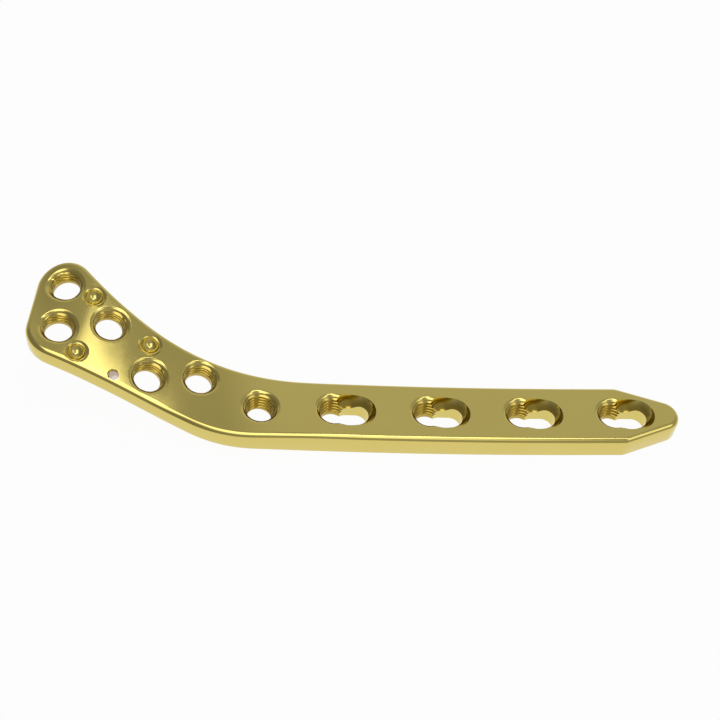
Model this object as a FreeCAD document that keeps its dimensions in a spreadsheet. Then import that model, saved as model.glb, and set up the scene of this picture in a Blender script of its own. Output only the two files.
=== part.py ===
# Locking plate for the upper end of the shin bone, in millimetres.
# +X runs along the shaft to the pointed tip, +Z out from the bone, z = 0 is the flat bone side of the shaft.
# The origin is on the axis of the threaded end of the last combination hole, at the bone side.

import FreeCAD, Part
import math
import os

import Sketcher
from FreeCAD import Placement, Rotation, Vector

SIZES = {
    # Shaft, with its gentle bow along the bone and its pointed tip
    "shaft_width": 14.8,
    "shaft_thickness": 4.9,
    "edge_round": 0.9,
    "bow_start_x": -10.0,
    "bow_radius": 925.0,
    "tip_reach": 14.25,
    "nose_round": 3.8,
    "taper_angle": 20.5,
    "taper_corner": 3.3,
    # Holes along the shaft: the last combination hole is at the origin, the round hole is at the neck
    "slot_count": 4,
    "slot_pitch": 20.0,
    "neck_step": 15.3,
    # Head, with places along X counted from the neck hole: two round corners about the end holes,
    # joined to the shaft by one bend on each edge, the front edge slightly waisted. The back bend lies
    # where it touches the back corner.
    "head_thickness": 3.7,
    "front_bend_from_neck": -0.8,
    "front_bend_round": 33.0,
    "front_waist_round": 255.0,
    "front_corner_from_neck": -41.1,
    "front_corner_y": 13.2,
    "front_corner_round": 6.6,
    "back_corner_from_neck": -40.4,
    "back_corner_y": 23.2,
    "back_corner_round": 6.0,
    "back_bend_round": 62.5,
    # Locking holes: a lip eased by two bevels, threaded cone, short plain land at the bone side
    "lock_mouth": 4.4,
    "lock_lip": 1.2,
    "lock_cone_angle": 12.0,
    "lock_land": 0.9,
    # Compression end of a combination hole: a ball run down a ramp, over a slot with upright walls
    "ramp_ball": 4.15,
    "ramp_high_from_thread": 5.0,
    "ramp_high_over_face": 1.7,
    "ramp_low_from_thread": 3.0,
    "ramp_low_over_face": 0.8,
    "slot_half_width": 2.4,
    # Small features of the head: a through hole for a guide wire and blind ball dimples
    "wire_hole_radius": 1.05,
    "wire_hole_from_neck": -29.7,
    "wire_hole_y": 4.0,
    "dimple_mouth": 2.55,
    "dimple_ledge_depth": 0.55,
    "dimple_ball": 1.8,
    "dimple_ball_depth": 1.7,
    # Locking holes and dimples of the head, seen from straight above, along X from the neck hole
    "back_end_lock_from_neck": -40.4,
    "back_end_lock_y": 23.2,
    "front_end_lock_from_neck": -41.1,
    "front_end_lock_y": 13.3,
    "middle_lock_from_neck": -30.8,
    "middle_lock_y": 15.1,
    "front_neck_lock_from_neck": -22.7,
    "front_neck_lock_y": 5.0,
    "back_neck_lock_from_neck": -12.4,
    "back_neck_lock_y": 6.0,
    "back_dimple_from_neck": -34.4,
    "back_dimple_y": 20.9,
    "front_dimple_from_neck": -37.2,
    "front_dimple_y": 8.1,
    "neck_dimple_from_neck": -22.7,
    "neck_dimple_y": 12.1,
    # Cross sections of the sheet that the plate is milled from. Across the plate the outer face is a
    # straight line. Each section of the head has a rise over the shaft's bow, a roll about X, and a
    # share of the thinning from the shaft's thickness to the head's.
    "head_section_step": 9.55,
    "neck_rise": -0.14,
    "neck_roll_angle": 2.7,
    "neck_thinning_share": 0.37,
    "bend_rise": -0.18,
    "bend_roll_angle": 7.4,
    "bend_thinning_share": 0.7,
    "flare_rise": 0.2,
    "flare_roll_angle": 11.9,
    "flare_thinning_share": 0.93,
    "crest_rise": 1.09,
    "crest_roll_angle": 14.2,
    "crest_thinning_share": 1.0,
    "end_holes_rise": 2.47,
    "end_holes_roll_angle": 12.1,
    "end_holes_thinning_share": 1.0,
    "head_end_rise": 4.14,
    "head_end_roll_angle": 3.3,
    "head_end_thinning_share": 1.0,
    "past_head_rise": 5.78,
    "past_head_roll_angle": -14.5,
    "past_head_thinning_share": 1.0,
    # How far the sheet reaches past the plate, its frame past the sheet, and a cutter past a face
    "past_tip": 5.8,
    "sheet_front": 18.0,
    "sheet_back": 38.0,
    "frame_margin": 12.0,
    "cutter_overrun": 3.0,
}
SHAFT_SECTIONS = 9
HEAD_SECTIONS = ("neck", "bend", "flare", "crest", "end_holes", "head_end", "past_head")
HEAD_LOCKS = ("back_end", "front_end", "middle", "front_neck", "back_neck")
DIMPLES = ("back", "front", "neck")

doc = FreeCAD.newDocument("locking_plate")
sizes = doc.addObject("Spreadsheet::Sheet", "Sizes")
for row, (name, number) in enumerate(SIZES.items(), 1):
    sizes.set(f"A{row}", name)
    sizes.set(f"B{row}", str(number))
    sizes.setAlias(f"B{row}", name)
doc.recompute()

NECK_X = "(-(Sizes.slot_count - 1) * Sizes.slot_pitch - Sizes.neck_step)"
HALF_WIDTH = "Sizes.shaft_width / 2"


def value(name):
    """Reads a named value back."""
    return float(sizes.get(name))


neck_x = -(value("slot_count") - 1) * value("slot_pitch") - value("neck_step")


def new_body(name):
    body = doc.addObject("PartDesign::Body", name)
    body.Label = name
    return body


def new_sketch(body, name, role):
    """A sketch on one of the body's own origin planes."""
    sketch = body.newObject("Sketcher::SketchObject", name)
    plane = next(item for item in body.Origin.OriginFeatures if item.Role == role)
    sketch.AttachmentSupport = (plane, [""])
    sketch.MapMode = "FlatFace"
    return sketch


def draw_line(sketch, x1, y1, x2, y2):
    return sketch.addGeometry(Part.LineSegment(Vector(x1, y1, 0), Vector(x2, y2, 0)), False)


def draw_arc(sketch, x, y, radius, start, end):
    circle = Part.Circle(Vector(x, y, 0), Vector(0, 0, 1), radius)
    piece = Part.ArcOfCircle(circle, math.radians(start), math.radians(end))
    return sketch.addGeometry(piece, False)


def draw_polygon(sketch, points):
    """Draws a closed chain of lines through the points and returns the first line."""
    ends = points[1:] + points[:1]
    lines = [draw_line(sketch, *start, *end) for start, end in zip(points, ends)]
    for this, following in zip(lines, lines[1:] + lines[:1]):
        sketch.addConstraint(Sketcher.Constraint("Coincident", this, 2, following, 1))
    return lines[0]


def place_point(sketch, geometry, end, across, up):
    """Holds a point of a sketch at coordinates given as expressions, None leaves one free."""
    drawn = sketch.getPoint(geometry, end)
    for kind, start, expression in (
        ("DistanceX", drawn.x, across),
        ("DistanceY", drawn.y, up),
    ):
        if expression is not None:
            where = (-1, 1, geometry, end, start)
            index = sketch.addConstraint(Sketcher.Constraint(kind, *where))
            sketch.setExpression(f"Constraints[{index}]", expression)


def set_radius(sketch, geometry, expression):
    """Ties the radius of an arc to a named value."""
    drawn = sketch.Geometry[geometry].Radius
    index = sketch.addConstraint(Sketcher.Constraint("Radius", geometry, drawn))
    sketch.setExpression(f"Constraints[{index}]", expression)


def set_angle(sketch, geometry, drawn, expression):
    """Ties the angle of a line to a named value."""
    index = sketch.addConstraint(Sketcher.Constraint("Angle", geometry, math.radians(drawn)))
    sketch.setExpression(f"Constraints[{index}]", expression)


# The sheet: one smooth body through all cross sections, wider than the plate
plate = new_body("plate_milled")


def bow(x):
    """Height of the shaft's bow over its flat end at x, as an expression."""
    gone = f"max(Sizes.bow_start_x - ({x}); 0)"
    return f"({gone})^2 / (2 * Sizes.bow_radius)"


def draw_section(name, x, rise, roll, thinning):
    """One cross section of the sheet, its values given as expressions."""
    section = new_sketch(plate, f"section_{name}", "YZ_Plane")
    section.setExpression("AttachmentOffset.Base.z", x)
    front, back = -value("sheet_front"), value("sheet_back")
    thick = value("shaft_thickness")
    thin = thick - value("head_thickness")
    first = draw_polygon(section, [(front, thin), (back, thin), (back, thick), (front, thick)])
    outer = f"Sizes.shaft_thickness + {bow(x)} + {rise}"
    inner = f"{outer} - Sizes.shaft_thickness"
    inner += f" + {thinning} * (Sizes.shaft_thickness - Sizes.head_thickness)"
    corners = (
        ("-Sizes.sheet_front", inner),
        ("Sizes.sheet_back", inner),
        ("Sizes.sheet_back", outer),
        ("-Sizes.sheet_front", outer),
    )
    for corner, (across, level) in enumerate(corners):
        place_point(section, first + corner, 1, across, f"{level} + tan({roll} * 1deg) * ({across})")
    return section


sections = []
for step in range(SHAFT_SECTIONS):
    share = step / SHAFT_SECTIONS
    start = "Sizes.tip_reach + Sizes.past_tip"
    along = f"{start} + {share} * ({NECK_X} - ({start}))"
    sections.append(draw_section(f"shaft_{step}", along, "0", "0", "0"))
for step, name in enumerate(HEAD_SECTIONS):
    along = f"{NECK_X} - {step} * Sizes.head_section_step"
    bound = [f"Sizes.{name}_{kind}" for kind in ("rise", "roll_angle", "thinning_share")]
    sections.append(draw_section(name, along, *bound))
doc.recompute()

sheet = plate.newObject("PartDesign::AdditiveLoft", "sheet")
sheet.Profile = sections[0]
sheet.Sections = sections[1:]
sheet.Ruled = False
sheet.Closed = False
doc.recompute()

# The outline, milled straight down through the sheet. It is a round of circles joined by straight lines
# or touching each other, each one here as its centre, its radius and 1 where it bulges or -1 where it is
# hollow, counterclockwise from the nose.
half_width = value("shaft_width") / 2
nose_x = value("tip_reach") - value("nose_round")
tip_corner = value("taper_corner")
taper = math.radians(value("taper_angle"))
taper_fall = value("nose_round") - tip_corner - (half_width - tip_corner) * math.cos(taper)
taper_x = nose_x + taper_fall / math.sin(taper)
front_bend_r, back_bend_r = value("front_bend_round"), value("back_bend_round")
waist_r = value("front_waist_round")
front_corner_r, back_corner_r = value("front_corner_round"), value("back_corner_round")
front_corner_at = Vector(neck_x + value("front_corner_from_neck"), value("front_corner_y"), 0)
back_corner_at = Vector(neck_x + value("back_corner_from_neck"), value("back_corner_y"), 0)
front_bend_at = Vector(neck_x + value("front_bend_from_neck"), front_bend_r - half_width, 0)
back_bend_y = back_bend_r + half_width
back_bend_reach = math.sqrt((back_bend_r + back_corner_r) ** 2 - (back_bend_y - back_corner_at.y) ** 2)
back_bend_at = Vector(back_corner_at.x + back_bend_reach, back_bend_y, 0)


def touching_centre(first, first_reach, second, second_reach):
    """The point at these distances from two points, to the right of the way from one to the other."""
    way = second - first
    apart = way.Length
    along = (first_reach**2 - second_reach**2 + apart**2) / (2 * apart)
    aside = math.sqrt(first_reach**2 - along**2)
    way.normalize()
    return first + way * along + Vector(way.y, -way.x, 0) * aside


waist_at = touching_centre(front_corner_at, front_corner_r + waist_r, front_bend_at, front_bend_r + waist_r)
ROUNDS = {
    "nose": (Vector(nose_x, 0, 0), value("nose_round"), 1),
    "back_tip_corner": (Vector(taper_x, half_width - tip_corner, 0), tip_corner, 1),
    "back_bend": (back_bend_at, back_bend_r, -1),
    "back_corner": (back_corner_at, back_corner_r, 1),
    "front_corner": (front_corner_at, front_corner_r, 1),
    "front_waist": (waist_at, waist_r, -1),
    "front_bend": (front_bend_at, front_bend_r, 1),
    "front_tip_corner": (Vector(taper_x, tip_corner - half_width, 0), tip_corner, 1),
}
# What joins each round to the next one: a named line, or nothing where the two touch
LINES = {
    "nose": "back_taper",
    "back_tip_corner": "back_shaft",
    "back_corner": "end_edge",
    "front_bend": "front_shaft",
    "front_tip_corner": "front_taper",
}


def joining_angle(first, second):
    """The direction, square to it, in which the line that joins two rounds faces outward."""
    (start, start_r, start_side), (end, end_r, end_side) = first, second
    way = end - start
    rise = start_side * start_r - end_side * end_r
    run = math.sqrt(abs(way.Length**2 - rise**2))  # zero, give or take rounding, where the two touch
    return math.atan2(way.y, way.x) - math.atan2(run, rise)


def on_round(name, angle):
    """The point of a round whose outward direction is that angle."""
    centre, radius, side = ROUNDS[name]
    return centre + Vector(math.cos(angle), math.sin(angle), 0) * side * radius


outline = new_sketch(plate, "outline", "XY_Plane")
names = list(ROUNDS)
after = dict(zip(names, names[1:] + names[:1]))
before = dict(zip(names[1:] + names[:1], names))
chain = []
drawn = {}
for name, (centre, radius, side) in ROUNDS.items():
    arriving = joining_angle(ROUNDS[before[name]], ROUNDS[name])
    leaving = joining_angle(ROUNDS[name], ROUNDS[after[name]])
    if side > 0:
        arc = draw_arc(outline, centre.x, centre.y, radius, math.degrees(arriving), math.degrees(leaving))
        chain.append((arc, 1, 2))
    else:
        arc = draw_arc(
            outline, centre.x, centre.y, radius, math.degrees(leaving) + 180, math.degrees(arriving) + 180
        )
        chain.append((arc, 2, 1))
    drawn[name] = arc
    if name in LINES:
        start, end = on_round(name, leaving), on_round(after[name], leaving)
        line = draw_line(outline, start.x, start.y, end.x, end.y)
        chain.append((line, 1, 2))
        drawn[LINES[name]] = line
for (this, _, this_end), (following, following_start, _) in zip(chain, chain[1:] + chain[:1]):
    joint = (this, this_end, following, following_start)
    outline.addConstraint(Sketcher.Constraint("Tangent", *joint))

for name in ("front_bend", "front_waist", "front_corner", "back_corner", "back_bend", "nose"):
    set_radius(outline, drawn[name], f"Sizes.{name}_round")
for name in ("back_tip_corner", "front_tip_corner"):
    set_radius(outline, drawn[name], "Sizes.taper_corner")
for name, up in (
    ("front_bend", f"Sizes.front_bend_round - {HALF_WIDTH}"),
    ("front_corner", "Sizes.front_corner_y"),
    ("back_corner", "Sizes.back_corner_y"),
):
    place_point(outline, drawn[name], 3, f"{NECK_X} + Sizes.{name}_from_neck", up)
place_point(outline, drawn["back_bend"], 3, None, f"Sizes.back_bend_round + {HALF_WIDTH}")
place_point(outline, drawn["nose"], 3, "Sizes.tip_reach - Sizes.nose_round", None)
outline.addConstraint(Sketcher.Constraint("PointOnObject", drawn["nose"], 3, -1))
outline.addConstraint(Sketcher.Constraint("Horizontal", drawn["front_shaft"]))
outline.addConstraint(Sketcher.Constraint("Horizontal", drawn["back_shaft"]))
front_tip, back_tip = drawn["front_tip_corner"], drawn["back_tip_corner"]
outline.addConstraint(Sketcher.Constraint("Vertical", front_tip, 3, back_tip, 3))
set_angle(outline, drawn["back_taper"], 180 - value("taper_angle"), "(180 - Sizes.taper_angle) * 1deg")

# What lies outside the outline is cut away, so the sketch has a frame around the whole sheet
margin = value("frame_margin")
frame_left = neck_x - (len(HEAD_SECTIONS) - 1) * value("head_section_step") - margin
frame_right = value("tip_reach") + value("past_tip") + margin
frame_front, frame_back = -value("sheet_front") - margin, value("sheet_back") + margin
frame = draw_polygon(
    outline,
    [
        (frame_left, frame_front),
        (frame_right, frame_front),
        (frame_right, frame_back),
        (frame_left, frame_back),
    ],
)
FRAME_LEFT = f"{NECK_X} - {len(HEAD_SECTIONS) - 1} * Sizes.head_section_step - Sizes.frame_margin"
FRAME_RIGHT = "Sizes.tip_reach + Sizes.past_tip + Sizes.frame_margin"
FRAME_FRONT = "-Sizes.sheet_front - Sizes.frame_margin"
FRAME_BACK = "Sizes.sheet_back + Sizes.frame_margin"
for corner, (across, up) in enumerate(
    (
        (FRAME_LEFT, FRAME_FRONT),
        (FRAME_RIGHT, FRAME_FRONT),
        (FRAME_RIGHT, FRAME_BACK),
        (FRAME_LEFT, FRAME_BACK),
    )
):
    place_point(outline, frame + corner, 1, across, up)
doc.recompute()
trim = plate.newObject("PartDesign::Pocket", "trim")
trim.Profile = outline
trim.Type = "ThroughAll"
trim.Midplane = True
doc.recompute()

# The rounded edge all around the outer face
outer_face = max(trim.Shape.Faces, key=lambda face: face.Area * face.normalAt(0.5, 0.5).z)
rim = [
    f"Edge{number}"
    for number, edge in enumerate(trim.Shape.Edges, 1)
    if any(edge.isSame(border) for border in outer_face.OuterWire.Edges)
]
edge_round = plate.newObject("PartDesign::Fillet", "edge_round")
edge_round.Base = (trim, rim)
edge_round.setExpression("Radius", "Sizes.edge_round")
doc.recompute()


def seat(x, y):
    """The point of the outer face over x, y, and the turn that stands a hole square on it there."""
    box = trim.Shape.BoundBox
    plumb = Part.makeLine(Vector(x, y, box.ZMin - 1), Vector(x, y, box.ZMax + 1))
    inside = plumb.common(trim.Shape)
    point = max((vertex.Point for vertex in inside.Vertexes), key=lambda p: p.z)
    normal = outer_face.normalAt(*outer_face.Surface.parameter(point))
    return Placement(point, Rotation(Vector(0, 0, 1), normal))


def lock_cutter(name, thickness):
    """What a locking hole takes out of a plate of that thickness, its mouth at z = 0.

    Its outer bevel goes on over the mouth, so that it meets a curved face all around."""
    body = new_body(name)
    profile = new_sketch(body, f"{name}_profile", "XZ_Plane")
    mouth, lip = value("lock_mouth"), value("lock_lip")
    lean = value("lock_cone_angle")
    slope = math.radians(lean)
    half_turn = (math.pi / 2 - slope) / 2
    depth, over = value(thickness), value("cutter_overrun")
    land = depth - value("lock_land")
    bevel_start = (mouth + lip, lip * math.tan(half_turn / 2))
    bevel_end = (mouth - lip * math.sin(half_turn), lip * math.cos(half_turn) - lip)
    lip_end = (mouth - lip * math.cos(slope), lip * math.sin(slope) - lip)
    reach = lip_end[0] - (lip_end[1] + land) * math.tan(slope)
    top = draw_line(profile, 0, over, mouth + lip, over)
    wall = draw_line(profile, mouth + lip, over, *bevel_start)
    bevel = draw_line(profile, *bevel_start, *bevel_end)
    steep_bevel = draw_line(profile, *bevel_end, *lip_end)
    cone = draw_line(profile, *lip_end, reach, -land)
    plain = draw_line(profile, reach, -land, reach, -depth - over)
    floor = draw_line(profile, reach, -depth - over, 0, -depth - over)
    axis = draw_line(profile, 0, -depth - over, 0, over)
    place_point(profile, top, 1, "0", "Sizes.cutter_overrun")
    rise = "Sizes.lock_lip * tan((22.5 - Sizes.lock_cone_angle / 4) * 1deg)"
    place_point(profile, wall, 2, "Sizes.lock_mouth + Sizes.lock_lip", rise)
    for line, angle in (
        (bevel, "(45 - Sizes.lock_cone_angle / 2) * 1deg"),
        (steep_bevel, "(90 - Sizes.lock_cone_angle) * 1deg"),
    ):
        across = f"Sizes.lock_mouth - Sizes.lock_lip * sin({angle})"
        place_point(profile, line, 2, across, f"Sizes.lock_lip * (cos({angle}) - 1)")
    place_point(profile, cone, 2, None, f"Sizes.lock_land - Sizes.{thickness}")
    place_point(profile, axis, 1, "0", f"-Sizes.{thickness} - Sizes.cutter_overrun")
    for joint in (
        (top, 2, wall, 1),
        (wall, 2, bevel, 1),
        (bevel, 2, steep_bevel, 1),
        (steep_bevel, 2, cone, 1),
        (cone, 2, plain, 1),
        (plain, 2, floor, 1),
        (floor, 2, axis, 1),
        (axis, 2, top, 1),
    ):
        profile.addConstraint(Sketcher.Constraint("Coincident", *joint))
    for kind, geometry in (
        ("Horizontal", top),
        ("Vertical", wall),
        ("Vertical", plain),
        ("Horizontal", floor),
    ):
        profile.addConstraint(Sketcher.Constraint(kind, geometry))
    set_angle(profile, cone, -90 - lean, "-(90 + Sizes.lock_cone_angle) * 1deg")
    doc.recompute()
    turned = body.newObject("PartDesign::Revolution", f"{name}_turned")
    turned.Profile = profile
    turned.ReferenceAxis = (profile, ["V_Axis"])
    turned.Angle = 360.0
    doc.recompute()
    return body


def dimple_cutter():
    """A shallow cone that ends in the mouth of a ball bowl."""
    body = new_body("dimple_cutter")
    profile = new_sketch(body, "dimple_profile", "XZ_Plane")
    mouth, ledge = value("dimple_mouth"), value("dimple_ledge_depth")
    ball, depth = value("dimple_ball"), value("dimple_ball_depth")
    over = value("cutter_overrun")
    centre = ball - depth
    turn = math.degrees(math.asin((-ledge - centre) / ball))
    edge_r = ball * math.cos(math.radians(turn))
    top = draw_line(profile, 0, over, mouth, over)
    wall = draw_line(profile, mouth, over, mouth, 0)
    cone = draw_line(profile, mouth, 0, edge_r, -ledge)
    bowl = draw_arc(profile, 0, centre, ball, -90, turn)
    axis = draw_line(profile, 0, -depth, 0, over)
    place_point(profile, top, 1, "0", "Sizes.cutter_overrun")
    place_point(profile, wall, 2, "Sizes.dimple_mouth", "0")
    place_point(profile, cone, 2, None, "-Sizes.dimple_ledge_depth")
    place_point(profile, bowl, 3, "0", "Sizes.dimple_ball - Sizes.dimple_ball_depth")
    set_radius(profile, bowl, "Sizes.dimple_ball")
    for joint in (
        (top, 2, wall, 1),
        (wall, 2, cone, 1),
        (cone, 2, bowl, 2),
        (bowl, 1, axis, 1),
        (axis, 2, top, 1),
    ):
        profile.addConstraint(Sketcher.Constraint("Coincident", *joint))
    profile.addConstraint(Sketcher.Constraint("Horizontal", top))
    profile.addConstraint(Sketcher.Constraint("Vertical", wall))
    profile.addConstraint(Sketcher.Constraint("Vertical", axis))
    doc.recompute()
    turned = body.newObject("PartDesign::Revolution", "dimple_turned")
    turned.Profile = profile
    turned.ReferenceAxis = (profile, ["V_Axis"])
    turned.Angle = 360.0
    doc.recompute()
    return body


def primitive(kind, name, bound):
    """A simple solid with its sizes tied to named values."""
    shape = doc.addObject(kind, name)
    for prop, expression in bound.items():
        shape.setExpression(prop, expression)
    return shape


def combination_cutter():
    """The threaded hole with the ball's ramp and the upright slot beside it."""
    high_x, high_z = "Sizes.ramp_high_from_thread", "Sizes.ramp_high_over_face"
    low_x, low_z = "Sizes.ramp_low_from_thread", "Sizes.ramp_low_over_face"
    run = f"({high_x} - {low_x})"
    climb = f"({high_z} - {low_z})"
    pieces = [shaft_lock]
    for name, x, z in (("high", high_x, high_z), ("low", low_x, low_z)):
        ball = {"Radius": "Sizes.ramp_ball", "Placement.Base.x": x, "Placement.Base.z": z}
        pieces.append(primitive("Part::Sphere", f"ramp_ball_{name}", ball))
        end = {
            "Radius": "Sizes.slot_half_width",
            "Height": "Sizes.shaft_thickness + Sizes.cutter_overrun",
            "Placement.Base.x": x,
            "Placement.Base.z": "-Sizes.shaft_thickness - Sizes.cutter_overrun",
        }
        pieces.append(primitive("Part::Cylinder", f"slot_end_{name}", end))
    descent = {
        "Radius": "Sizes.ramp_ball",
        "Height": f"sqrt({run}^2 + {climb}^2)",
        "Placement.Base.x": low_x,
        "Placement.Base.z": low_z,
        "Placement.Rotation.Angle": f"atan2({run}; {climb})",
    }
    ramp = primitive("Part::Cylinder", "ramp_run", descent)
    ramp.Placement.Rotation = Rotation(Vector(0, 1, 0), 60)
    pieces.append(ramp)
    gap = {
        "Length": run,
        "Width": "2 * Sizes.slot_half_width",
        "Height": "Sizes.shaft_thickness + Sizes.cutter_overrun",
        "Placement.Base.x": low_x,
        "Placement.Base.y": "-Sizes.slot_half_width",
        "Placement.Base.z": "-Sizes.shaft_thickness - Sizes.cutter_overrun",
    }
    pieces.append(primitive("Part::Box", "slot_middle", gap))
    fused = doc.addObject("Part::MultiFuse", "combination_cutter")
    fused.Shapes = pieces
    return fused


shaft_lock = lock_cutter("shaft_lock_cutter", "shaft_thickness")
head_lock = lock_cutter("head_lock_cutter", "head_thickness")
dimple = dimple_cutter()
combination = combination_cutter()
wire_size = {
    "Radius": "Sizes.wire_hole_radius",
    "Height": "Sizes.head_thickness + 2 * Sizes.cutter_overrun",
}
wire = primitive("Part::Cylinder", "wire_hole_cutter", wire_size)
doc.recompute()

# Every hole stands square on the outer face where it is cut, but the wire hole, which is upright
cutters = []


def cut_at(tool, name, x, y):
    link = doc.addObject("App::Link", name)
    link.LinkedObject = tool
    link.Placement = seat(x, y)
    cutters.append(link)


for number in range(int(value("slot_count"))):
    cut_at(combination, f"slot_{number + 1}", -number * value("slot_pitch"), 0)
cut_at(shaft_lock, "neck_hole", neck_x, 0)
for name in HEAD_LOCKS:
    cut_at(head_lock, f"{name}_hole", neck_x + value(f"{name}_lock_from_neck"), value(f"{name}_lock_y"))
for name in DIMPLES:
    cut_at(dimple, f"{name}_dimple", neck_x + value(f"{name}_dimple_from_neck"), value(f"{name}_dimple_y"))
wire_seat = seat(neck_x + value("wire_hole_from_neck"), value("wire_hole_y"))
wire.Placement.Base = wire_seat.Base - Vector(0, 0, value("head_thickness") + value("cutter_overrun"))
cutters.append(wire)
doc.recompute()
holes = doc.addObject("Part::MultiFuse", "holes")
holes.Shapes = cutters
bone_plate = doc.addObject("Part::Cut", "bone_plate")
bone_plate.Label = "bone_plate"
bone_plate.Base = plate
bone_plate.Tool = holes
doc.recompute()

# Nothing is written unless every object came out sound
for item in doc.Objects:
    if "Invalid" in item.State or "Error" in item.State:
        raise RuntimeError(f"{item.Name} failed: {item.State}")
shape = bone_plate.Shape
if shape.isNull() or not shape.isValid() or len(shape.Solids) != 1:
    raise RuntimeError("bone_plate is not one sound solid")
os.makedirs("parts", exist_ok=True)
shape.exportStep(f"parts/{bone_plate.Label}.step")
print(bone_plate.Label, round(shape.Volume, 1), "cubic mm", shape.BoundBox)
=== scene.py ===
# Locking plate for the upper end of the shin bone: one piece of titanium alloy, polished and anodised
# gold.

import math

import bmesh
import bpy
from mathutils import Matrix, Vector
from mathutils.geometry import delaunay_2d_cdt
from mathutils.kdtree import KDTree


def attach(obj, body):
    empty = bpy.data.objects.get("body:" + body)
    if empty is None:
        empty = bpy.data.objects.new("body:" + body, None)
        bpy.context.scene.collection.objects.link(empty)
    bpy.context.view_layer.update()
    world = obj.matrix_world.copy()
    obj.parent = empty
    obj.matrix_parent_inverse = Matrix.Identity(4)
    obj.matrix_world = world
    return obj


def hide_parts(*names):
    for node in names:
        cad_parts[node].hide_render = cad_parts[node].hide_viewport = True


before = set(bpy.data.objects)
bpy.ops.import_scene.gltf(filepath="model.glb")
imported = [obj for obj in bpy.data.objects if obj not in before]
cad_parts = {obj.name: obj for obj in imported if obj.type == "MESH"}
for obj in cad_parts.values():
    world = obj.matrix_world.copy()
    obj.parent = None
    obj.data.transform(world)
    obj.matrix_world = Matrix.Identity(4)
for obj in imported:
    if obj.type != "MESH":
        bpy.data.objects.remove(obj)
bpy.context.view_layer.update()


# The blank: a bar of titanium alloy, forged to the curve of the bone and milled to its outline.
# Its shaft is 4.9 mm thick and bows gently; the head is thinner, rolls towards the bone's front
# and rises at its end. The edge of the outer face is well rounded, the edge of the bone side barely.
MM = 0.001  # sizes are in millimetres, and the mesh is in metres
SHAFT_HALF_WIDTH = 7.4
SHAFT_THICKNESS = 4.9
HEAD_THICKNESS = 3.7
OUTER_ROUND = 1.15
INNER_ROUND = 0.25
TIP_REACH = 14.25
NECK_X = -75.3
BOW_START_X = -10.0
BOW_RADIUS = 925.0
SHAFT_STATIONS = 9
SHEET_START_X = 20.05
HEAD_STEP = 9.55
# rise over the bow, roll about X in degrees, share of the thinning from shaft to head
HEAD_STATIONS = (
    (-0.14, 2.7, 0.37),
    (-0.19, 7.4, 0.7),
    (0.15, 11.7, 0.93),
    (1.2, 14.0, 1.0),
    (2.42, 12.55, 1.0),
    (4.13, 3.25, 1.0),
    (5.78, -14.5, 1.0),
)

stations = []
for step in range(SHAFT_STATIONS):
    x = SHEET_START_X + step / SHAFT_STATIONS * (NECK_X - SHEET_START_X)
    stations.append((x, 0.0, 0.0, 0.0))
for step, (rise, roll, thinning) in enumerate(HEAD_STATIONS):
    stations.append((NECK_X - step * HEAD_STEP, rise, math.tan(math.radians(roll)), thinning))
stations = [
    (x, rise + max(BOW_START_X - x, 0) ** 2 / (2 * BOW_RADIUS), slope, thinning)
    for x, rise, slope, thinning in reversed(stations)
]


def slope_at(index, column):
    """Slope of a smooth curve through the stations, at one of them."""
    before = stations[max(index - 1, 0)]
    after = stations[min(index + 1, len(stations) - 1)]
    return (after[column] - before[column]) / (after[0] - before[0])


def between_stations(x, column):
    """Value of a column of the stations at x, on a smooth curve through them all."""
    index = max(i for i in range(len(stations) - 1) if i == 0 or stations[i][0] <= x)
    start, end = stations[index], stations[index + 1]
    run = end[0] - start[0]
    s = (x - start[0]) / run
    rise = end[column] - start[column]
    leaving = slope_at(index, column) * run - rise
    arriving = slope_at(index + 1, column) * run - rise
    return start[column] + s * rise + s * (1 - s) * ((1 - s) * leaving - s * arriving)


def outer_height(x, y):
    """Height of the outer face over x, y."""
    return SHAFT_THICKNESS + between_stations(x, 1) + between_stations(x, 2) * y


def bone_height(x, y):
    """Height of the bone side over x, y."""
    thinner = between_stations(x, 3) * (SHAFT_THICKNESS - HEAD_THICKNESS)
    return outer_height(x, y) - SHAFT_THICKNESS + thinner


def outer_normal(x, y):
    """Direction in which the outer face looks over x, y."""
    reach = 0.05
    along = (outer_height(x + reach, y) - outer_height(x - reach, y)) / (2 * reach)
    across = (outer_height(x, y + reach) - outer_height(x, y - reach)) / (2 * reach)
    return Vector((-along, -across, 1)).normalized()


def tangent_centre(one, other, radius):
    """Centre of a hollow round that touches two bulging rounds from below."""
    reach_one, reach_other = one[2] + radius, other[2] + radius
    apart = math.dist(one[:2], other[:2])
    along = (reach_one**2 - reach_other**2 + apart**2) / (2 * apart)
    aside = math.sqrt(reach_one**2 - along**2)
    ux, uy = (other[0] - one[0]) / apart, (other[1] - one[1]) / apart
    return one[0] + along * ux + aside * uy, one[1] + along * uy - aside * ux


# Rounds of the outline in order, each with its centre, its radius and 1 where it bulges or -1 where it
# is hollow. Straight edges join them.
TAPER = math.radians(69.5)
NOSE_ROUND = 3.8
TAPER_ROUND = 3.3
WAIST_ROUND = 255.0
nose_x = TIP_REACH - NOSE_ROUND
taper_y = SHAFT_HALF_WIDTH - TAPER_ROUND
taper_x = nose_x + (NOSE_ROUND - TAPER_ROUND - taper_y * math.sin(TAPER)) / math.cos(TAPER)
FRONT_BEND = 33.0
BACK_BEND = 62.5
front_corner = (NECK_X - 41.1, 13.2, 6.6, 1)
back_corner = (NECK_X - 40.4, 23.2, 6.0, 1)
front_bend = (NECK_X - 0.8, FRONT_BEND - SHAFT_HALF_WIDTH, FRONT_BEND, 1)
back_bend_y = BACK_BEND + SHAFT_HALF_WIDTH
back_bend_run = math.sqrt((BACK_BEND + back_corner[2]) ** 2 - (back_bend_y - back_corner[1]) ** 2)
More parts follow.
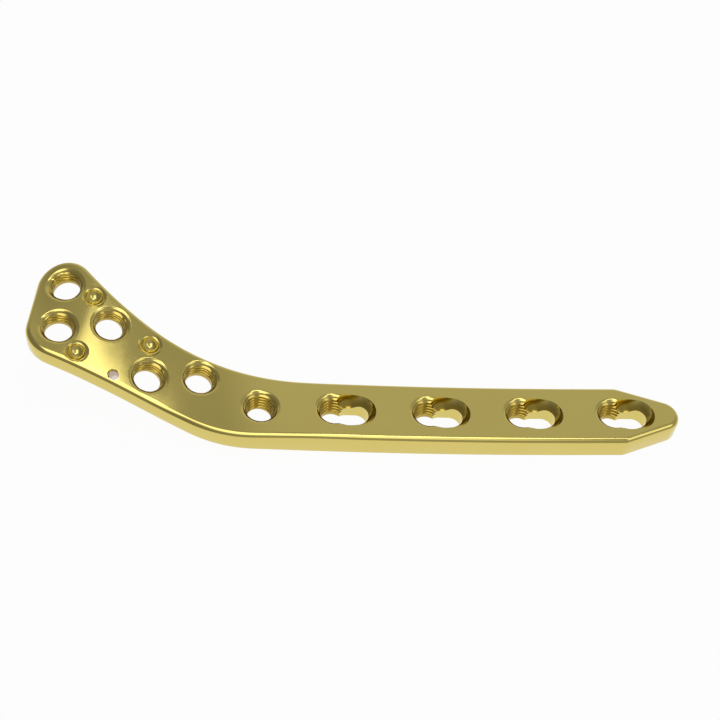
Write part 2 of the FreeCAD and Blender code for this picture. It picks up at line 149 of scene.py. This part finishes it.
rounds = [
    (nose_x, 0.0, NOSE_ROUND, 1),
    (taper_x, taper_y, TAPER_ROUND, 1),
    (back_corner[0] + back_bend_run, back_bend_y, BACK_BEND, -1),
    back_corner,
    front_corner,
    (*tangent_centre(front_corner, front_bend, WAIST_ROUND), WAIST_ROUND, -1),
    front_bend,
    (taper_x, -taper_y, TAPER_ROUND, 1),
]


def joining_angle(start, end):
    """Direction in which the straight edge from one round to the next faces."""
    towards = math.atan2(end[1] - start[1], end[0] - start[0])
    share = (start[3] * start[2] - end[3] * end[2]) / math.dist(start[:2], end[:2])
    return towards - math.acos(max(-1.0, min(1.0, share)))


OUTLINE_STEP = 0.55
WIDEST_TURN = math.radians(4)
SAME_POINT = 0.02
outline = []  # points, each with the direction that the side wall faces there
for index, this in enumerate(rounds):
    before, after = rounds[index - 1], rounds[(index + 1) % len(rounds)]
    first, last = joining_angle(before, this), joining_angle(this, after)
    turn = (last - first + math.pi) % (2 * math.pi) - math.pi
    steps = max(2, math.ceil(abs(turn) * this[2] / OUTLINE_STEP), math.ceil(abs(turn) / WIDEST_TURN))
    for step in range(steps + 1):
        angle = first + turn * step / steps
        out = Vector((math.cos(angle), math.sin(angle)))
        outline.append((Vector(this[:2]) + this[3] * this[2] * out, out))
    end = Vector(after[:2]) + after[3] * after[2] * out
    edge = end - outline[-1][0]
    steps = math.ceil(edge.length / OUTLINE_STEP)
    for step in range(1, steps):
        outline.append((end - edge * (1 - step / steps), out))
outline = [
    item
    for index, item in enumerate(outline)
    if (item[0] - outline[index - 1][0]).length > SAME_POINT
]

blank_mesh = bmesh.new()


def ring_at(inset, height):
    """A closed row of points along the outline, moved in and up."""
    row = []
    for point, out in outline:
        x, y = point - inset * out
        row.append(blank_mesh.verts.new(Vector((x, y, height(x, y))) * MM))
    return row


ROUND_STEPS = 10
INNER_STEPS = 3
RINGS_INSIDE = (0.3, 0.7)  # even rings on the face, as far inside its round
rings = []
for step in range(INNER_STEPS + 1):
    angle = math.radians(90 * step / INNER_STEPS)
    inset, lift = INNER_ROUND * (1 - math.sin(angle)), INNER_ROUND * (1 - math.cos(angle))
    rings.append(ring_at(inset, lambda x, y: bone_height(x, y) + lift))
for step in range(ROUND_STEPS + 1):
    angle = math.radians(90 * step / ROUND_STEPS)
    inset, drop = OUTER_ROUND * (1 - math.cos(angle)), OUTER_ROUND * (1 - math.sin(angle))
    rings.append(ring_at(inset, lambda x, y: outer_height(x, y) - drop))
for further in RINGS_INSIDE:
    rings.append(ring_at(OUTER_ROUND + further, outer_height))
for lower, upper in zip(rings, rings[1:]):
    for index in range(len(outline)):
        following = (index + 1) % len(outline)
        corners = (lower[index], lower[following], upper[following], upper[index])
        blank_mesh.faces.new(corners)


FACE_CELL = 0.8
CELL_TO_BORDER = 0.45


def fill(row, height, upward):
    """Covers the inside of a row with small even triangles that follow the sheet."""
    line_apart = FACE_CELL * 0.866  # the height of an even triangle
    border = [Vector((v.co.x, v.co.y)) / MM for v in row]
    near = KDTree(len(border))
    for index, point in enumerate(border):
        near.insert((*point, 0), index)
    near.balance()
    inner = []
    low_x, high_x = min(p.x for p in border), max(p.x for p in border)
    low_y, high_y = min(p.y for p in border), max(p.y for p in border)
    for line in range(int((high_y - low_y) / line_apart) + 2):
        for spot in range(int((high_x - low_x) / FACE_CELL) + 2):
            x = low_x + (spot + 0.5 * (line % 2)) * FACE_CELL
            y = low_y + line * line_apart
            if near.find((x, y, 0))[2] > CELL_TO_BORDER:
                inner.append(Vector((x, y)))
    around = [list(range(len(border)))]
    points, _, triangles, *_ = delaunay_2d_cdt(border + inner, [], around, 1, 1e-6)
    verts = row + [blank_mesh.verts.new(Vector((*p, height(*p))) * MM) for p in points[len(row) :]]
    for triangle in triangles:
        corners = [verts[index] for index in triangle]
        blank_mesh.faces.new(corners if upward else corners[::-1])


fill(rings[-1], outer_height, True)
fill(rings[0], bone_height, False)
loose = [v for v in blank_mesh.verts if not v.link_faces]
bmesh.ops.delete(blank_mesh, geom=loose, context="VERTS")
bmesh.ops.recalc_face_normals(blank_mesh, faces=blank_mesh.faces)
mesh = bpy.data.meshes.new("plate")
blank_mesh.to_mesh(mesh)
blank_mesh.free()
plate = bpy.data.objects.new("plate", mesh)
bpy.context.scene.collection.objects.link(plate)


# The holes: each is bored square to the outer face. A locking hole has a rounded lip, a conical thread
# and a short plain land. A combination hole joins a threaded hole with a ball-shaped ramp over a slot.
# Three blind dimples hold the points of a clamp, and a small upright hole takes a guide wire.
LOCK_MOUTH = 4.4
LOCK_LIP = 1.2
LOCK_LIP_OVER_FACE = 0.006
LOCK_LEAN = math.radians(12)
LOCK_LAND = 0.9
LIP_STEPS = 14
THREAD_PITCH = 0.7
THREAD_DEPTH = 0.62
THREAD_START = -0.4
THREAD_RUN_IN = 0.35
THREAD_RUN_OUT = 0.2
MEAN_DEPTH = 0.3  # share of the thread's depth at which its plain cone lies
STEPS_PER_PITCH = 10
TURN_STEPS = 96
OVERRUN = 3.0  # how far a cutter stands out of the face
UNDERRUN = 2.0  # how far it stands out of the bone side


def lathe(name, profile, thread=None):
    """Turns a profile of radius and height pairs, from its top to its bottom, into a closed solid."""
    turned = bmesh.new()
    rows = []
    for radius, height in profile:
        row = []
        for step in range(TURN_STEPS):
            angle = 2 * math.pi * step / TURN_STEPS
            r = radius + (thread(height, angle) if thread else 0)
            row.append(turned.verts.new((r * math.cos(angle), r * math.sin(angle), height)))
        rows.append(row)
    for upper, lower in zip(rows, rows[1:]):
        for step in range(TURN_STEPS):
            following = (step + 1) % TURN_STEPS
            turned.faces.new((upper[step], lower[step], lower[following], upper[following]))
    turned.faces.new(rows[0])
    turned.faces.new(rows[-1][::-1])
    mesh = bpy.data.meshes.new(name)
    turned.to_mesh(mesh)
    turned.free()
    piece = bpy.data.objects.new(name, mesh)
    bpy.context.scene.collection.objects.link(piece)
    return piece


def lock_cutter(thickness):
    """What a locking hole takes out of a plate of that thickness, its mouth at height 0."""
    centre = LOCK_LIP_OVER_FACE - LOCK_LIP
    profile = [(LOCK_MOUTH, OVERRUN), (LOCK_MOUTH, LOCK_LIP_OVER_FACE + 0.05)]
    for step in range(LIP_STEPS + 1):
        angle = math.radians(90) + (math.radians(90) - LOCK_LEAN) * step / LIP_STEPS
        profile.append((LOCK_MOUTH + LOCK_LIP * math.cos(angle), centre + LOCK_LIP * math.sin(angle)))
    start_r, start_z = profile[-1]
    end_z = LOCK_LAND - thickness
    steps = round((start_z - end_z) / THREAD_PITCH * STEPS_PER_PITCH)
    for step in range(1, steps + 1):
        z = start_z + (end_z - start_z) * step / steps
        profile.append((start_r - (start_z - z) * math.tan(LOCK_LEAN), z))
    profile.append((profile[-1][0], -thickness - UNDERRUN))

    def thread(height, angle):
        fade = min(1, (THREAD_START - height) / THREAD_RUN_IN, (height - end_z) / THREAD_RUN_OUT)
        wave = (1 + math.cos(2 * math.pi * height / THREAD_PITCH - angle)) / 2
        return THREAD_DEPTH * max(0, fade) * (wave**2 - MEAN_DEPTH)

    return lathe("lock_cutter", profile, thread)


def boolean(target, cutter, operation):
    """Joins or cuts one solid with another, which is used up."""
    bpy.ops.object.select_all(action="DESELECT")
    bpy.context.view_layer.objects.active = target
    target.select_set(True)
    change = target.modifiers.new(operation, "BOOLEAN")
    change.operation = operation
    change.solver = "EXACT"
    change.object = cutter
    bpy.ops.object.modifier_apply(modifier=change.name)
    bpy.data.objects.remove(cutter)


RAMP_BALL = 4.15
RAMP_LOW = Vector((3.0, 0, 0.8))
RAMP_HIGH = Vector((5.0, 0, 1.7))
SLOT_HALF_WIDTH = 2.4
SLOT_TOP = -0.2
ARC_STEPS = 32


def combination_cutter():
    """What a combination hole takes out of the shaft: a locking hole, a ramp and a slot."""
    cutter = lock_cutter(SHAFT_THICKNESS)
    along = RAMP_HIGH - RAMP_LOW
    profile = []
    for step in range(1, ARC_STEPS + 1):
        angle = math.pi / 2 * step / ARC_STEPS
        profile.append((RAMP_BALL * math.sin(angle), along.length + RAMP_BALL * math.cos(angle)))
    for step in range(ARC_STEPS):
        angle = math.pi / 2 * (1 + step / ARC_STEPS)
        profile.append((RAMP_BALL * math.sin(angle), RAMP_BALL * math.cos(angle)))
    ramp = lathe("ramp_cutter", profile)
    turn = Vector((0, 0, 1)).rotation_difference(along).to_matrix().to_4x4()
    ramp.data.transform(Matrix.Translation(RAMP_LOW) @ turn)
    boolean(cutter, ramp, "UNION")
    slot = bmesh.new()
    row = []
    for centre, start in ((RAMP_HIGH.x, -90), (RAMP_LOW.x, 90)):
        for step in range(ARC_STEPS + 1):
            angle = math.radians(start + 180 * step / ARC_STEPS)
            x, y = centre + SLOT_HALF_WIDTH * math.cos(angle), SLOT_HALF_WIDTH * math.sin(angle)
            row.append(slot.verts.new((x, y, SLOT_TOP)))
    top = slot.faces.new(row)
    bottom = bmesh.ops.extrude_face_region(slot, geom=[top])
    moved = [item for item in bottom["geom"] if isinstance(item, bmesh.types.BMVert)]
    bmesh.ops.translate(slot, verts=moved, vec=(0, 0, -SHAFT_THICKNESS - UNDERRUN))
    bmesh.ops.recalc_face_normals(slot, faces=slot.faces)
    mesh = bpy.data.meshes.new("slot_cutter")
    slot.to_mesh(mesh)
    slot.free()
    piece = bpy.data.objects.new("slot_cutter", mesh)
    bpy.context.scene.collection.objects.link(piece)
    boolean(cutter, piece, "UNION")
    return cutter


def dimple_cutter():
    """A shallow cone that ends in a fine ridge around the mouth of a ball-shaped bowl."""
    mouth, ball, depth = 2.55, 2.05, 1.6
    rim, rim_top, rim_round = 1.9, -0.36, 0.09
    bowl_top = -0.5
    centre = ball - depth
    profile = [(mouth + 0.3, 1.0), (mouth + 0.06, 0.06), (mouth, 0.0)]
    for step in range(1, 4):
        share = step / 4
        profile.append((mouth + (rim + 0.1 - mouth) * share, (rim_top - 0.1) * share))
    for step in range(7):
        angle = math.radians(45 + 120 * step / 6)
        lift = rim_round * math.sin(angle) - rim_round
        profile.append((rim + rim_round * math.cos(angle), rim_top + lift))
    edge = math.asin((bowl_top - centre) / ball)
    for step in range(20):
        angle = edge + (math.radians(-89) - edge) * step / 19
        profile.append((ball * math.cos(angle), centre + ball * math.sin(angle)))
    return lathe("dimple_cutter", profile)


WIRE_RADIUS = 1.05


def wire_cutter():
    """A drilled hole with a small countersink."""
    profile = [(1.6, OVERRUN), (1.25, 0.12), (WIRE_RADIUS, -0.1), (WIRE_RADIUS, -8.0)]
    return lathe("wire_cutter", profile)


def place(cutter, x, y, upright=False):
    """Stands a cutter on the outer face, with its mouth laid along the face's curve."""
    seat = Vector((x, y, outer_height(x, y)))
    normal = Vector((0, 0, 1)) if upright else outer_normal(x, y)
    turn = Vector((0, 0, 1)).rotation_difference(normal).to_matrix().to_4x4()
    cutter.data.transform(Matrix.Translation(seat) @ turn)
    face = outer_normal(x, y)
    for vert in cutter.data.vertices:
        level = seat.z - (face.x * (vert.co.x - x) + face.y * (vert.co.y - y)) / face.z
        depth = (vert.co - seat).dot(normal)
        share = min(1, max(0, (depth + LOCK_LIP) / LOCK_LIP))
        inside = min(max(vert.co.x, stations[0][0]), stations[-1][0])
        vert.co.z += share * (outer_height(inside, vert.co.y) - level)
    cutter.data.transform(Matrix.Scale(MM, 4))
    return cutter


def cut(cutters):
    """Takes a group of cutters, none of which touch, out of the plate."""
    bpy.ops.object.select_all(action="DESELECT")
    for cutter in cutters:
        cutter.select_set(True)
    bpy.context.view_layer.objects.active = cutters[0]
    bpy.ops.object.join()
    boolean(plate, cutters[0], "DIFFERENCE")


SLOT_PITCH = 20.0
SLOTS = 4
LOCK_REACH = 4.75
RAMP_REACH = 5.3
WIRE_X, WIRE_Y = NECK_X - 29.7, 4.0
ramp_x = (RAMP_LOW.x + RAMP_HIGH.x) / 2
bores = [(NECK_X, 0.0, LOCK_REACH)]  # x, y and reach of each bore
cutters = [place(lock_cutter(SHAFT_THICKNESS), NECK_X, 0)]
for number in range(SLOTS):
    x = -SLOT_PITCH * number
    cutters.append(place(combination_cutter(), x, 0))
    bores += [(x, 0.0, LOCK_REACH), (x + ramp_x, 0.0, RAMP_REACH)]
for from_neck, y in ((-40.4, 23.2), (-41.1, 13.3), (-30.8, 15.1), (-22.7, 5.0), (-12.4, 6.0)):
    cutters.append(place(lock_cutter(HEAD_THICKNESS), NECK_X + from_neck, y))
    bores.append((NECK_X + from_neck, y, LOCK_REACH))
cutters.append(place(wire_cutter(), WIRE_X, WIRE_Y, upright=True))
cut(cutters)
dimples = ((-34.4, 20.9), (-37.2, 8.1), (-22.7, 12.1))
cut([place(dimple_cutter(), NECK_X + from_neck, y) for from_neck, y in dimples])
bpy.ops.object.select_all(action="DESELECT")
plate.select_set(True)
bpy.context.view_layer.objects.active = plate
bpy.ops.object.shade_smooth_by_angle(angle=math.radians(32))

# The face is ground true, so its reflections run smoothly: every corner on it gets the face's own
# direction.
ON_FACE = 0.003
FACE_TURN = math.radians(8)
mesh = plate.data
directions = [corner.vector.copy() for corner in mesh.corner_normals]
for polygon in mesh.polygons:
    for corner in polygon.loop_indices:
        x, y, z = mesh.vertices[mesh.loops[corner].vertex_index].co / MM
        if polygon.normal.z > 0.8 and abs(z - outer_height(x, y)) < ON_FACE:
            true_normal = outer_normal(x, y)
            if polygon.normal.angle(true_normal) < FACE_TURN:
                directions[corner] = true_normal
mesh.normals_split_custom_set(directions)



def on_slot_wall(x, y, z):
    """Whether a point lies on the upright wall of one of the slots."""
    for number in range(SLOTS):
        seat = -SLOT_PITCH * number
        slope = (outer_height(seat + 1, 0) - outer_height(seat - 1, 0)) / 2
        along = x - seat - slope * (outer_height(seat, 0) - z)
        centre = min(max(along, RAMP_LOW.x), RAMP_HIGH.x)
        if abs(math.dist((along, y), (centre, 0)) - SLOT_HALF_WIDTH) < 0.05:
            return True
    return False


# How deep each corner lies in a threaded cone or a ramp, from 0 at the lip to 1; it sets how much
# painted shade the finish lays in these recesses
SHADE_START = 0.25
SHADE_RUN = 0.8
# painted shade: this depth darkens and browns the colour inside the bores
bore_shade_depth = mesh.attributes.new("bore_shade_depth", "FLOAT", "CORNER")
for polygon in mesh.polygons:
    x, y, z = polygon.center / MM
    inside = any(math.dist((x, y), bore[:2]) < bore[2] for bore in bores)
    in_slot = abs(polygon.normal.z) < 0.1 and on_slot_wall(x, y, z)
    if inside and polygon.normal.z > -0.6 and not in_slot:
        for corner in polygon.loop_indices:
            x, y, z = mesh.vertices[mesh.loops[corner].vertex_index].co / MM
            depth = (outer_height(x, y) - z - SHADE_START) / SHADE_RUN
            bore_shade_depth.data[corner].value = min(1, max(0, depth))
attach(plate, "root")
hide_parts("bone_plate")


class Wire:
    """A socket in a material's node tree that takes Python's operators."""

    def __init__(self, tree, socket):
        self.tree, self.socket = tree, socket

    def node(self, kind, settings=(), **inputs):
        """Adds a node, sets it up and fills its sockets, whose names are given with _ for a space."""
        node = self.tree.nodes.new(kind)
        for name, setting in dict(settings).items():
            setattr(node, name, setting)
        for name, item in inputs.items():
            key = int(name[1:]) if name[1:].isdigit() else name.replace("_", " ")
            if isinstance(item, Wire):
                self.tree.links.new(item.socket, node.inputs[key])
            else:
                node.inputs[key].default_value = item
        return node

    def math(self, operation, other=0.0, third=0.0):
        node = self.node("ShaderNodeMath", {"operation": operation}, _0=self, _1=other, _2=third)
        return Wire(self.tree, node.outputs[0])

    def __add__(self, other):
        return self.math("ADD", other)

    def __mul__(self, other):
        return self.math("MULTIPLY", other)

    __radd__, __rmul__ = __add__, __mul__


# The finish: titanium alloy, ground, polished and then anodised, which lays a thin film on it that shows
# as pale gold. Deeper in the threads and ramps the colour turns darker and browner: painted shade for
# these recesses. The polish is fine but not a mirror, and the drilled wire hole is bare.
finish = bpy.data.materials.new("anodised_titanium")
finish.use_nodes = True
tree = finish.node_tree
shader = tree.nodes["Principled BSDF"]
coordinates = Wire(tree, tree.nodes.new("ShaderNodeTexCoord").outputs["Object"])
shader.inputs["Metallic"].default_value = 1.0
grain = coordinates.node("ShaderNodeTexNoise", Vector=coordinates, Scale=900.0, Detail=3.0)
cloud = coordinates.node("ShaderNodeTexNoise", Vector=coordinates, Scale=90.0, Detail=2.0)
roughness = Wire(tree, grain.outputs[0]) * 0.05 + Wire(tree, cloud.outputs[0]) * 0.05 + 0.06
tree.links.new(roughness.socket, shader.inputs["Roughness"])
FILM = (0.69, 0.572, 0.172, 1)
THICK_FILM = (0.67, 0.545, 0.155, 1)
# painted shade: the darker, browner colour laid deep in the threads and ramps
BORE_SHADE = (0.46, 0.33, 0.06, 1)
BARE = (0.72, 0.64, 0.58, 1)
film_and_shade = coordinates.node(
    "ShaderNodeMix", {"data_type": "RGBA"}, _0=Wire(tree, cloud.outputs[0]), _6=FILM, _7=THICK_FILM
)
parts = coordinates.node("ShaderNodeSeparateXYZ", Vector=coordinates)
aside = Wire(tree, parts.outputs["X"]) + -WIRE_X * MM
across = Wire(tree, parts.outputs["Y"]) + -WIRE_Y * MM
distance = (aside * aside + across * across).math("SQRT")
drilled = distance.math("LESS_THAN", (WIRE_RADIUS + 0.03) * MM)
bored = coordinates.node("ShaderNodeAttribute", {"attribute_name": "bore_shade_depth"})
# mixes in the painted shade by how deep each corner lies in a bore
film_and_shade = coordinates.node(
    "ShaderNodeMix",
    {"data_type": "RGBA"},
    _0=Wire(tree, bored.outputs["Fac"]),
    _6=Wire(tree, film_and_shade.outputs[2]),
    _7=BORE_SHADE,
)
colour = coordinates.node(
    "ShaderNodeMix", {"data_type": "RGBA"}, _0=drilled, _6=Wire(tree, film_and_shade.outputs[2]), _7=BARE
)
tree.links.new(colour.outputs[2], shader.inputs["Base Color"])
plate.data.materials.clear()
plate.data.materials.append(finish)


# The stage: a white floor that keeps a faint shadow, in a softly lit room with three lamps. The floor
# glows evenly white to the camera, and to the plate's reflections it glows as a painted pool of light,
# white near by and darker further away.
FLOOR_SIZE = 3.0
FLOOR_GLOW = 0.96
bpy.ops.mesh.primitive_plane_add(size=FLOOR_SIZE, location=(-0.055, 0, -0.0004))
floor = bpy.context.active_object
floor.name = "floor"
paint = bpy.data.materials.new("floor")
paint.use_nodes = True
tree = paint.node_tree
tree.nodes["Principled BSDF"].inputs["Base Color"].default_value = (0.9, 0.9, 0.9, 1)
tree.nodes["Principled BSDF"].inputs["Roughness"].default_value = 0.9
glow = tree.nodes.new("ShaderNodeEmission")
path = tree.nodes.new("ShaderNodeLightPath")
mix = tree.nodes.new("ShaderNodeMixShader")
# painted light: the floor glows, though it is no lamp, brightest close to the plate in reflections
by_camera = Wire(tree, path.outputs["Is Camera Ray"])
by_metal = Wire(tree, path.outputs["Is Glossy Ray"])
glowing = by_camera.math("MAXIMUM", by_metal) * FLOOR_GLOW
spot = Wire(tree, tree.nodes.new("ShaderNodeTexCoord").outputs["Object"])
length = spot.node("ShaderNodeVectorMath", {"operation": "LENGTH"}, _0=spot)
far = Wire(tree, length.outputs["Value"])
dim = far.node("ShaderNodeMapRange", Value=far, From_Min=0.12, From_Max=0.4, To_Min=1.0, To_Max=0.3)
brightness = Wire(tree, dim.outputs[0]).math("MAXIMUM", by_camera)
tree.links.new(brightness.socket, glow.inputs["Color"])
tree.links.new(glowing.socket, mix.inputs[0])
tree.links.new(tree.nodes["Principled BSDF"].outputs[0], mix.inputs[1])
tree.links.new(glow.outputs[0], mix.inputs[2])
tree.links.new(mix.outputs[0], tree.nodes["Material Output"].inputs[0])
floor.data.materials.append(paint)

world = bpy.data.worlds.new("studio")
bpy.context.scene.world = world
world.use_nodes = True
tree = world.node_tree
background = tree.nodes["Background"]
direction = Wire(tree, tree.nodes.new("ShaderNodeTexCoord").outputs["Generated"])
parts = direction.node("ShaderNodeSeparateXYZ", Vector=direction)
to_right, to_back, to_top = (Wire(tree, parts.outputs[axis]) for axis in "XYZ")


def ramp(value, start, end, low=0.0, high=1.0):
    """A soft step from low to high while the value goes from start to end."""
    step = value.node(
        "ShaderNodeMapRange",
        {"interpolation_type": "SMOOTHSTEP"},
        Value=value,
        From_Min=start,
        From_Max=end,
        To_Min=low,
        To_Max=high,
    )
    return Wire(tree, step.outputs[0])


def between(value, start, end, edge):
    """One between start and end, falling softly to nothing over the edge beyond either."""
    return ramp(value, start - edge, start) * ramp(value, end, end + edge, 1.0, 0.0)


# The room, by direction: walls, ceiling and horizon. Then three lamps: a narrow slanted one overhead,
# which lays the bright band across the head and reaches down to the front edge, a broad one in front,
# which draws the line along the edge, and a small one to the right for the tip.
BAND_LAMP, EDGE_LAMP, TIP_LAMP = 3.6, 1.6, 0.9
walls = ramp(to_right, -0.6, 0.1, 0.24, 0.42)
ceiling = ramp(to_back, 0.4, 0.6, 0.0, 0.16)
horizon = ramp(to_top, 0.5, 0.1, 0.0, 0.15) * ramp(to_back, -0.2, 0.2)
overhead = ramp(to_top, 0.0, 0.1)
slanted = to_right + to_back * 0.914 + -0.2285
lifted = to_back + to_right * 0.323 + -0.08
leaning = to_right + to_back * -0.38
band = overhead * between(slanted, 0.19, 0.226, 0.035) * between(lifted, 0.0, 0.222, 0.02)
band_end = overhead * between(leaning, 0.16, 0.215, 0.04) * between(to_back, -0.03, 0.19, 0.03)
band = band.math("MAXIMUM", band_end)
edge = overhead * between(to_back, -0.62, -0.06, 0.1) * between(to_right, -0.1, 0.12, 0.2)
tip = overhead * between(to_back, -0.4, -0.1, 0.15) * between(to_right, 0.6, 0.72, 0.12)
strength = walls + ceiling + horizon + band * BAND_LAMP + edge * EDGE_LAMP + tip * TIP_LAMP
path = tree.nodes.new("ShaderNodeLightPath")
seen = direction.node("ShaderNodeMix", _0=Wire(tree, path.outputs["Is Camera Ray"]), _2=strength, _3=1.0)
tree.links.new(seen.outputs[0], background.inputs["Strength"])
background.inputs["Color"].default_value = (1, 1, 1, 1)

bpy.context.scene.view_settings.view_transform = "Standard"

# The camera looks from the front and above, a little from the left.
AZIMUTH, ELEVATION, ROLL = math.radians(-9.0838), math.radians(48.9894), math.radians(7.2659)
DISTANCE = 276.283
target = Vector((-53.027, 18.468, 0.444)) * MM
back = Vector(
    (
        math.sin(AZIMUTH) * math.cos(ELEVATION),
        -math.cos(AZIMUTH) * math.cos(ELEVATION),
        math.sin(ELEVATION),
    )
)
level = Vector((math.cos(AZIMUTH), math.sin(AZIMUTH), 0))
upright = back.cross(level)
right = math.cos(ROLL) * level + math.sin(ROLL) * upright
up = math.cos(ROLL) * upright - math.sin(ROLL) * level
camera = bpy.data.objects.new("camera", bpy.data.cameras.new("camera"))
bpy.context.scene.collection.objects.link(camera)
camera.data.sensor_width = 36
camera.data.lens = 62.498
camera.data.clip_start = 0.01
turned = Matrix((right, up, back)).transposed().to_4x4()
camera.matrix_world = Matrix.Translation(target + back * DISTANCE * MM) @ turned
bpy.context.scene.camera = camera
